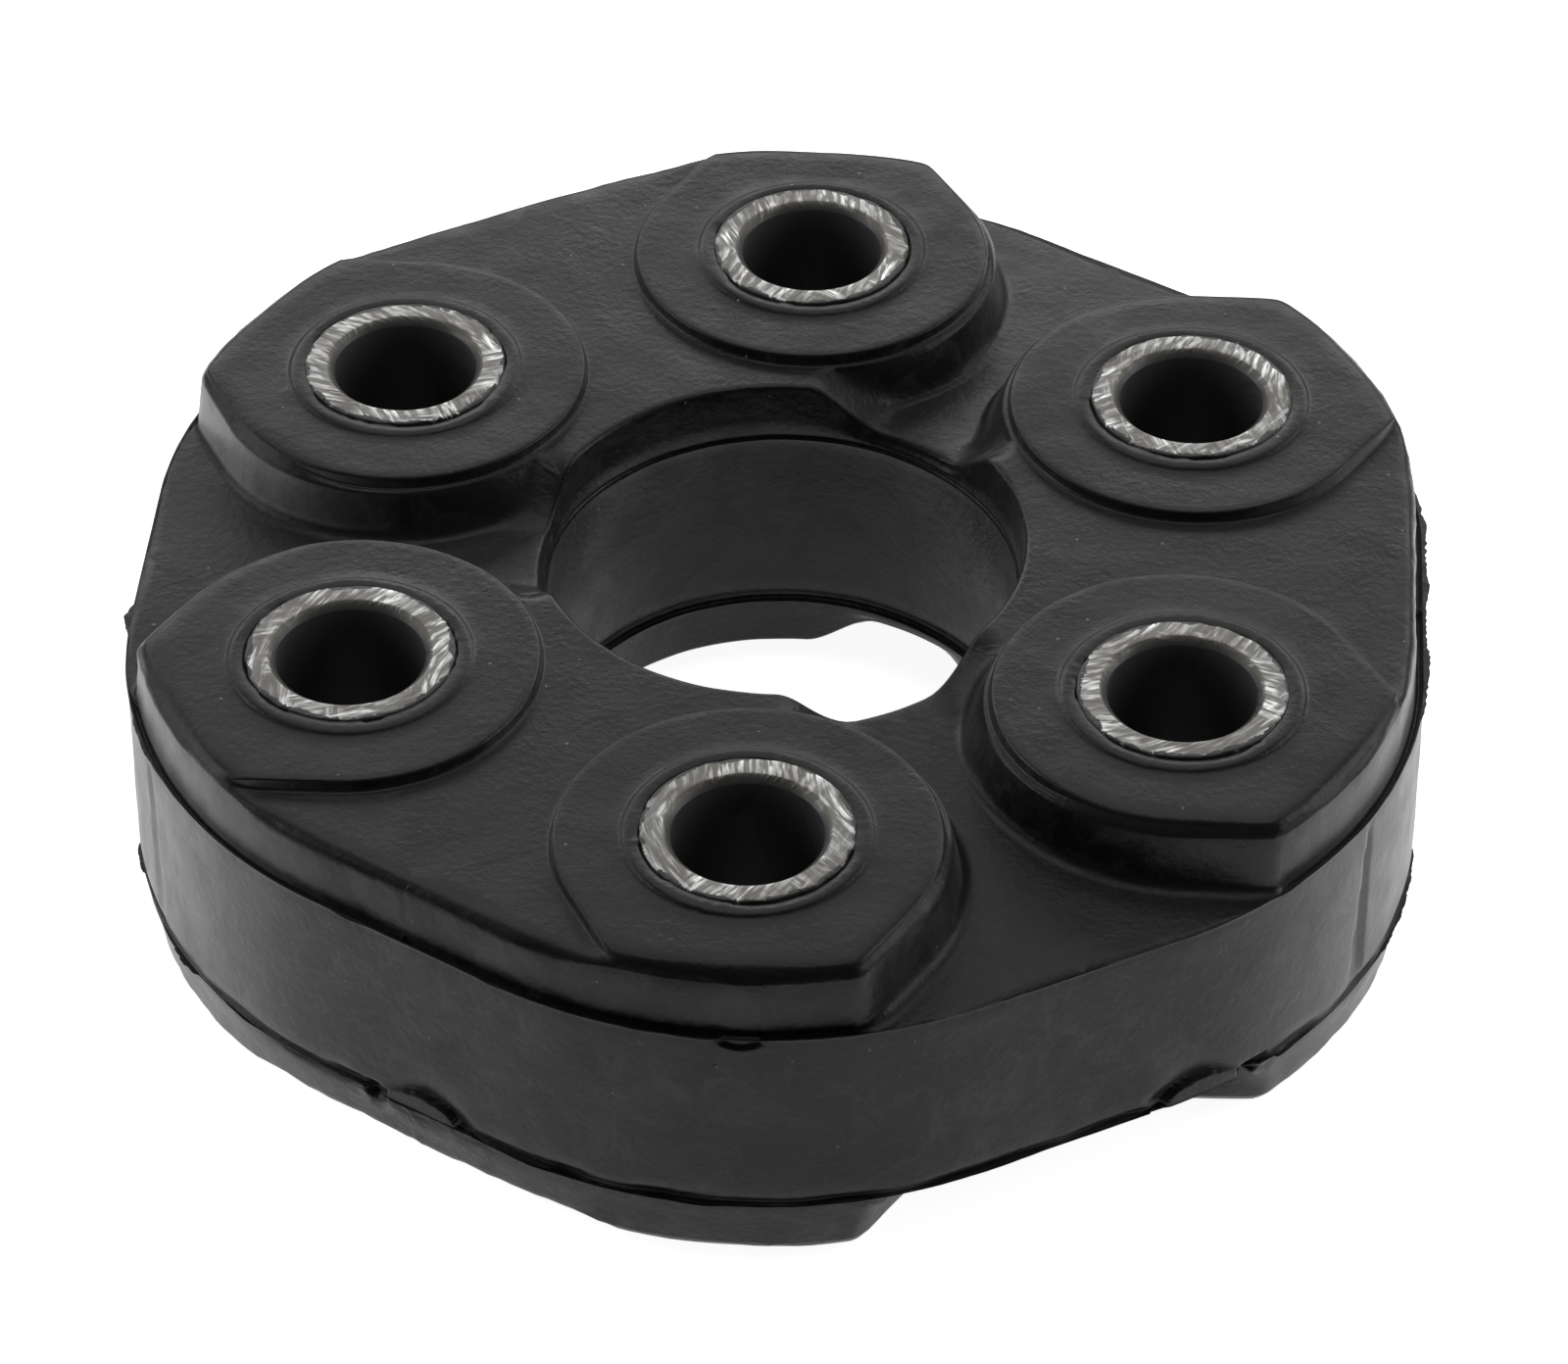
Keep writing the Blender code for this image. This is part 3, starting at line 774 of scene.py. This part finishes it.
def moveUnevenly(placed, normals, inset):
    # Long soft waves everywhere, short bumps on the thick links' walls, a torn edge at each sleeve
    height = np.abs(placed[:, 2])
    onWall = smoothStep(1.5, 1.2, inset) * smoothStep(9.05, 9.5, height)
    reach, angles = rubber["boltCircle"], [sleeveAngle(number) for number in sleeveNumbers]
    axes = np.array([(reach * math.cos(angle), reach * math.sin(angle)) for angle in angles])
    away = placed[:, None, :2] - axes[None, :, :]
    reaches = np.hypot(away[..., 0], away[..., 1])
    nearest, sleeveReach = reaches.argmin(axis=1), reaches.min(axis=1)
    free = smoothStep(8.8, 10.5, sleeveReach)
    torn = smoothStep(9.3, 8.9, sleeveReach) * smoothStep(15.1, 15.3, height)
    shift = np.zeros(len(placed))
    bump, bumpScale = rubber["wallBumps"]
    for index, point in enumerate(placed):
        spot = Vector(point)
        shift[index] = sum(wave * noise.noise(spot * scale) for wave, scale in rubber["waves"])
        if onWall[index] > 0.01:
            shift[index] += bump * onWall[index] * noise.noise(spot * bumpScale)
        if torn[index] > 0.01:
            ragged = noise.noise(spot * 0.22) + 0.35 * noise.noise(spot * 1.1)
            placed[index, 2] -= math.copysign(rubber["tornGap"], point[2]) * torn[index] * max(0.0, ragged)
            inward = rubber["tightFit"] * torn[index] * float(smoothStep(0.12, -0.05, ragged))
            towards = (axes[nearest[index]] - placed[index, :2]) / sleeveReach[index]
            placed[index, :2] += towards * inward
    placed += normals * (shift * free)[:, None]


def makeRubberBody():
    points, faces = rubberPoints()
    body = meshObject("moulded_rubber_body", points * mm, faces, rubberMade)
    bm = bmesh.new()
    bm.from_mesh(body.data)
    bmesh.ops.remove_doubles(bm, verts=bm.verts, dist=0.004 * mm)
    bmesh.ops.dissolve_degenerate(bm, edges=bm.edges, dist=0.002 * mm)
    bmesh.ops.recalc_face_normals(bm, faces=bm.faces)
    refineBand(bm, bandMarks["notch"]["turn"], 2.6, 6.0, 9.05, cuts=3)
    for tab in bandMarks["tabs"]:
        refineBand(bm, tab["turn"], 7, -10.4, -6.0, cuts=4)
    for seam in bandMarks["seams"]:
        refineBand(bm, seam["turn"], 2.4, -8.8, 8.8, cuts=2)
    bm.normal_update()
    placed = np.array([vertex.co for vertex in bm.verts]) / mm
    normals = np.array([vertex.normal for vertex in bm.verts])
    turn, radius = np.arctan2(placed[:, 1], placed[:, 0]), np.hypot(placed[:, 0], placed[:, 1])
    plain = outlineRadius(fromSleeve(turn))
    turn = np.degrees(turn) % 360
    onBand = (radius > plain - 0.6) & (np.abs(placed[:, 2]) < rubber["bandHalf"] + 0.02)
    depth = bandDepth(turn, placed[:, 2]) * onBand
    placed[:, :2] *= (1 - depth / radius)[:, None]
    placed[:, :2] *= (1 + lowerWallGrowth(turn, radius, plain, placed[:, 2]) / radius)[:, None]
    moveUnevenly(placed, normals, plain - radius)
    for vertex, place in zip(bm.verts, placed):
        vertex.co = Vector(place) * mm + Vector((0, 0, middleHeight))
    bm.to_mesh(body.data)
    bm.free()
    body.data.shade_smooth()
    return body


rubberBody = makeRubberBody()
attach(rubberBody, "root")
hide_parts("rubber_body")
print("rubber body", len(rubberBody.data.polygons), "faces")


# Thin flash that the mould halves left along each parting line
flash = {
    "columns": 2400, "reach": 0.1, "ragged": 0.3, "shortest": 0.02, "longest": 1.2, "thickness": 0.06,
    "lines": [(9.0, 0.1), (-9.0, 1.3)],   # height, and how far the flash is rooted in the rubber
    # Torn off in front of the half discs; tabHalf and tabAside are degrees
    "tornBack": 1.4, "tabHalf": (5.6, 6.6), "tabAside": 1.3,
    "tears": [   # longer rags at the disc's sides: turn, half width in degrees, reach, 1 for the upper line
        (8.0, 9.0, 0.42, 1), (353.0, 8.0, 0.4, 1), (340.0, 4.0, 0.42, -1), (347.0, 3.0, 0.3, -1),
        (189.0, 2.0, 0.5, 1), (205.0, 3.0, 0.25, 1), (213.0, 2.0, 0.5, -1), (199.0, 2.0, 0.35, -1)],
}


def makeFlash():
    turns = np.linspace(0, 2 * math.pi, flash["columns"], endpoint=False)
    radius = outlineRadius(fromSleeve(turns))
    points, faces = [], []
    for line, (height, root) in enumerate(flash["lines"]):
        side = 1 if height > 0 else -1
        reach = np.zeros_like(turns)
        for index, turn in enumerate(turns):
            spot = Vector((math.cos(turn) * 56, math.sin(turn) * 56, line * 40))
            slow, quick = noise.noise(spot * 0.2), noise.noise(spot * 0.42)
            reach[index] = flash["reach"] * (0.5 + slow)
            reach[index] += flash["ragged"] * max(0, slow - 0.25) * (0.7 + quick)
            for place, half, longer, tearSide in flash["tears"]:
                away = abs(turnApart(math.degrees(turn), place)) / half
                if tearSide == side and away < 1:
                    rag = noise.noise(spot * 1.9)
                    reach[index] += longer * math.sqrt(1 - away ** 2) * max(0, 0.7 + 0.5 * quick + 0.4 * rag)
        reach = np.clip(reach, flash["shortest"], flash["longest"])
        narrow, wide = flash["tabHalf"]
        for tab in bandMarks["tabs"] if side < 0 else []:
            across = turnApart(np.degrees(turns) - tab["turn"], flash["tabAside"] * tab["lean"])
            reach -= smoothStep(wide, narrow, np.abs(across))
        wave = np.array([0.05 * noise.noise(Vector((turn * 30, line, 0))) for turn in turns])
        section = [(-root, 0.5), (0.0, 0.5), (1.0, 0.15), (1.0, -0.15), (0.0, -0.5), (-root, -0.5)]
        faces += gridFaces(len(section), flash["columns"], len(points))
        for offset, lift in section:
            out = radius + np.where(offset < 0, offset, reach * offset)
            out = np.where(reach < 0, radius + np.minimum(offset, 0) + flash["tornBack"] * reach, out)
            level = height + wave + lift * flash["thickness"]
            points += list(np.stack([out * np.cos(turns) * mm, out * np.sin(turns) * mm,
                                     level * mm + middleHeight], -1))
    made = meshObject("parting_line_flash", points, faces, rubberMade, smooth=False)
    turnFacesOutward(made)
    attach(made, "root")


makeFlash()
print("flash ready")


# Steel bolt sleeves
sleeve = {
    "radius": 8.6, "bore": 6.1, "boreEdge": 0.6, "rimEdge": 0.2, "columns": 160,
    "rimNicks": 0.12, "endWaves": 0.03,
    "steel": (0.17, 0.167, 0.16), "paintedScratchGlint": (0.85, 0.85, 0.84), "dull": (0.11, 0.10, 0.085),
    "boreTone": (0.05, 0.05, 0.05), "smear": (0.018, 0.018, 0.018),
    "grindCentre": (17, -9, 0), "crossCentre": (-6, 24, 0),   # what the two sets of arcs run round
    "ownPattern": (7, 5, 3),   # moves the marks on, by the sleeve's place, so that no two ends match
    "turns": {"sleeve_1": 35, "sleeve_2": 70, "sleeve_3": 120,   # degrees that the ends' marks are turned
              "sleeve_4": 15, "sleeve_5": 55, "sleeve_6": 160},
}


def sleeveMaterial():
    made, tree, shader = newMaterial("groundSteel")
    place = objectPlace(tree)
    apart = addNode(tree, "ShaderNodeSeparateXYZ", Vector=place)
    flat = addNode(tree, "ShaderNodeCombineXYZ", X=apart.outputs["X"], Y=apart.outputs["Y"])
    fromAxis = vectorNode(tree, 'LENGTH', flat.outputs[0]).outputs["Value"]
    where = tree.nodes.new("ShaderNodeObjectInfo").outputs["Location"]
    spot = vectorNode(tree, 'MULTIPLY_ADD', where, sleeve["ownPattern"], place).outputs[0]
    endZone = rangeNode(tree, mathNode(tree, 'ABSOLUTE', apart.outputs["Z"]),
                        (sleeveHalf - 0.5) * mm, (sleeveHalf - 0.12) * mm)
    chamferEdge = (sleeve["bore"] + sleeve["boreEdge"]) * mm
    chamfer = rangeNode(tree, fromAxis, chamferEdge - 0.1 * mm, chamferEdge + 0.12 * mm, 1.0, 0.0)
    grind = placeGroup(tree, "scrape", spot, Width_Scale=2800.0, Length_Share=0.1)
    cross = placeGroup(tree, "scrape", spot, Width_Scale=2300.0, Length_Share=0.16)
    for marks, centre in ((grind, "grindCentre"), (cross, "crossCentre")):
        shifted = vectorNode(tree, 'MULTIPLY_ADD', where, sleeve["ownPattern"],
                             [part * mm for part in sleeve[centre]])
        feedInputs(tree, marks, Centre=shifted.outputs[0])
    uneven = noiseNode(tree, spot, 220.0, 3.0, 0.6)
    patch = rangeNode(tree, noiseNode(tree, spot, 150.0, 3.0, 0.6), 0.44, 0.56)

    def blend(name):
        node = addNode(tree, "ShaderNodeMix", Factor=patch, A=grind.outputs[name], B=cross.outputs[name])
        return node.outputs["Result"]

    # Painted glints: the grinding scratches are painted in a bright colour over the darker steel, as
    # highlights
    tracks = plus(tree, times(tree, blend("Track"), 0.7), 0.3)
    gleam = times(tree, blend("Scratch"), tracks)
    face = mixColour(tree, gleam, sleeve["steel"], sleeve["paintedScratchGlint"])
    worn = times(tree, rangeNode(tree, uneven, 0.42, 0.62), 0.6)
    face = mixColour(tree, worn, face, sleeve["dull"])
    face = mixColour(tree, times(tree, chamfer, 0.8), face, sleeve["dull"])
    smearNoise = noiseNode(tree, spot, 420.0, 4.0, 0.65, 0.5)
    rimPlace = rangeNode(tree, fromAxis, (sleeve["radius"] - 1.0) * mm, sleeve["radius"] * mm, 0.0, 0.34)
    smear = rangeNode(tree, plus(tree, smearNoise, rimPlace), 0.74, 0.78)
    face = mixColour(tree, smear, face, sleeve["smear"])
    whole = mixColour(tree, endZone, sleeve["boreTone"], face)
    bare = times(tree, mathNode(tree, 'SUBTRACT', 1.0, smear), endZone)
    rough = rangeNode(tree, gleam, 0.0, 1.0, 0.48, 0.3)
    feedInputs(tree, shader, Base_Color=whole, Metallic=bare, Roughness=rough)
    bumpInto(tree, shader, times(tree, gleam, endZone), 0.00005)
    return made


def makeSleeve(name, material):
    size = sleeve
    low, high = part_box(name)
    turns = np.linspace(0, 2 * math.pi, size["columns"], endpoint=False)
    seed = Vector((low.x, low.y, 0)) / mm
    half, edge, bore = sleeveHalf, size["rimEdge"], size["bore"]
    radius, boreEdge = size["radius"], size["boreEdge"]
    # Radius, height and raggedness of the upper end, from the outer side round the rim into the bore
    section = [(radius, half - 1.6, 0), (radius, half - edge, 1)]
    section += [(radius - edge * inward, half - edge * down, 1) for down, inward in arcShares((20, 45, 70))]
    section += [(radius - edge, half, 1), (radius - 0.7, half, 0.5), (7.5, half, 0.3), (7.0, half, 0.2),
                (bore + boreEdge + 0.08, half, 0), (bore + boreEdge, half - 0.03, 0),
                (bore + 0.06, half - boreEdge + 0.03, 0), (bore, half - boreEdge - 0.08, 0),
                (bore, half - 4, 0)]
    loop = section + [(out, -height, ragged) for out, height, ragged in reversed(section)]
    points = []
    for out, height, ragged in loop:
        for turn in turns:
            spot = Vector((math.cos(turn) * 8, math.sin(turn) * 8, height)) + seed
            nick = ragged * size["rimNicks"] * max(0.0, noise.noise(spot * 0.9) * 1.6 + 0.1)
            drop = size["endWaves"] * ragged * noise.noise(spot * 0.4)
            points.append(((out - nick) * math.cos(turn) * mm, (out - nick) * math.sin(turn) * mm,
                           (height - math.copysign(abs(drop), height)) * mm))
    made = meshObject("steel_" + name, points, gridFaces(len(loop), size["columns"]), material)
    turnFacesOutward(made)
    made.data.shade_smooth()
    made.data.set_sharp_from_angle(angle=math.radians(32))
    made.location = (low + high) / 2
    made.rotation_euler.z = math.radians(size["turns"][name])
    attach(made, "root")
    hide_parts(name)


groundSteel = sleeveMaterial()
for sleeveNumber in sleeveNumbers:
    makeSleeve(f"sleeve_{sleeveNumber}", groundSteel)
print("sleeves ready")


# Hidden pieces keep their CAD solids: wound thread loops and the collars that hold them
hidden = {
    "cordDark": (0.42, 0.34, 0.22), "cordLight": (0.62, 0.52, 0.36), "cordScale": 1100.0,
    "collarDark": (0.22, 0.22, 0.23), "collarLight": (0.38, 0.38, 0.39),
}


def threadMaterial():
    made, tree, shader = newMaterial("woundThread", Metallic=0.0)
    wave = addNode(tree, "ShaderNodeTexWave", {"wave_type": 'BANDS', "bands_direction": 'Z'},
                   Vector=objectPlace(tree), Scale=hidden["cordScale"], Distortion=1.5, Detail=2.0)
    colour = mixColour(tree, wave.outputs["Fac"], hidden["cordDark"], hidden["cordLight"])
    rough = rangeNode(tree, wave.outputs["Fac"], 0.0, 1.0, 0.9, 0.7)
    feedInputs(tree, shader, Base_Color=colour, Roughness=rough)
    bumpInto(tree, shader, wave.outputs["Fac"], 0.0001)
    return made


def collarMaterial():
    made, tree, shader = newMaterial("collarSteel", Metallic=1.0)
    grain = placeGroup(tree, "grain", objectPlace(tree), Grain_Scale=900.0, Wave_Scale=90.0, Wave_Share=0.5)
    colour = mixColour(tree, grain.outputs["Tone"], hidden["collarDark"], hidden["collarLight"])
    rough = rangeNode(tree, grain.outputs["Tone"], 0.0, 1.0, 0.55, 0.4)
    feedInputs(tree, shader, Base_Color=colour, Roughness=rough)
    bumpInto(tree, shader, grain.outputs["Height"], 0.00003)
    return made


nodeMaterials = {"thread_pack": threadMaterial(), "sleeve_collar": collarMaterial(), "sleeve_": groundSteel,
                 "rubber_body": rubberMade}
for nodeName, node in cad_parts.items():
    finish = next(value for key, value in nodeMaterials.items() if nodeName.startswith(key))
    if not node.material_slots:
        node.data.materials.append(finish)
    for materialSlot in node.material_slots:
        materialSlot.material = finish
print("hidden pieces finished")


# Pale floor, white to the camera where nothing shades it
floor = {"half": 0.18, "colour": (0.80, 0.80, 0.80), "glow": 0.93, "glossyShare": 0.84}


def makeFloor():
    half = floor["half"]
    corners = [(-half, -half, 0), (half, -half, 0), (half, half, 0), (-half, half, 0)]
    made, tree, shader = newMaterial("paleFloor", Base_Color=(*floor["colour"], 1), Roughness=0.9,
                                     Specular_IOR_Level=0.1, Emission_Color=(1, 1, 1, 1))
    path = tree.nodes.new("ShaderNodeLightPath")
    glossy = times(tree, path.outputs["Is Glossy Ray"], floor["glossyShare"])
    seen = mathNode(tree, 'MAXIMUM', path.outputs["Is Camera Ray"], glossy)
    seen = mathNode(tree, 'MAXIMUM', seen, path.outputs["Is Transmission Ray"])
    feedInputs(tree, shader, Emission_Strength=times(tree, seen, floor["glow"]))
    meshObject("floor", corners, [(0, 1, 2, 3)], made, smooth=False)


makeFloor()

lights = {
    "world": (0.045, 0.046, 0.046),
    "boxes": [   # name, azimuth, elevation, distance, width, height in metres, power in watts
        ("back_left", 205, 24, 0.9, 0.8, 0.4, 2.3),
        ("back_right", 155, 24, 0.9, 0.8, 0.4, 2.3),
        ("left", 262, 22, 0.8, 0.5, 0.5, 1.8),
        ("right", 98, 22, 0.8, 0.5, 0.5, 1.8),
        ("top", 180, 76, 0.9, 0.9, 0.9, 3.2)],
}


def makeLights():
    world = bpy.data.worlds.new("softStudio")
    bpy.context.scene.world = world
    world.use_nodes = True
    tree = world.node_tree
    background = tree.nodes["Background"]
    path = tree.nodes.new("ShaderNodeLightPath")
    seen = mathNode(tree, 'MAXIMUM', path.outputs["Is Camera Ray"], path.outputs["Is Transmission Ray"])
    feedInputs(tree, background, Color=mixColour(tree, seen, lights["world"], (1.0, 1.0, 1.0)))
    target = Vector((0, 0, sleeveHigh.z / 2))
    for name, azimuth, elevation, distance, width, height, power in lights["boxes"]:
        # Azimuth 0 is the camera's side, and it grows to the right
        turn, rise = math.radians(azimuth - 90 + camera["azimuth"]), math.radians(elevation)
        lamp = bpy.data.lights.new(name, 'AREA')
        lamp.shape = 'RECTANGLE'
        lamp.size, lamp.size_y, lamp.energy = width, height, power
        made = bpy.data.objects.new(name, lamp)
        away = Vector((math.cos(turn) * math.cos(rise), math.sin(turn) * math.cos(rise), math.sin(rise)))
        made.location = target + away * distance
        made.rotation_euler = away.to_track_quat('Z', 'Y').to_euler()
        bpy.context.scene.collection.objects.link(made)


makeLights()
bpy.context.scene.view_settings.view_transform = 'Standard'
print("lights placed")
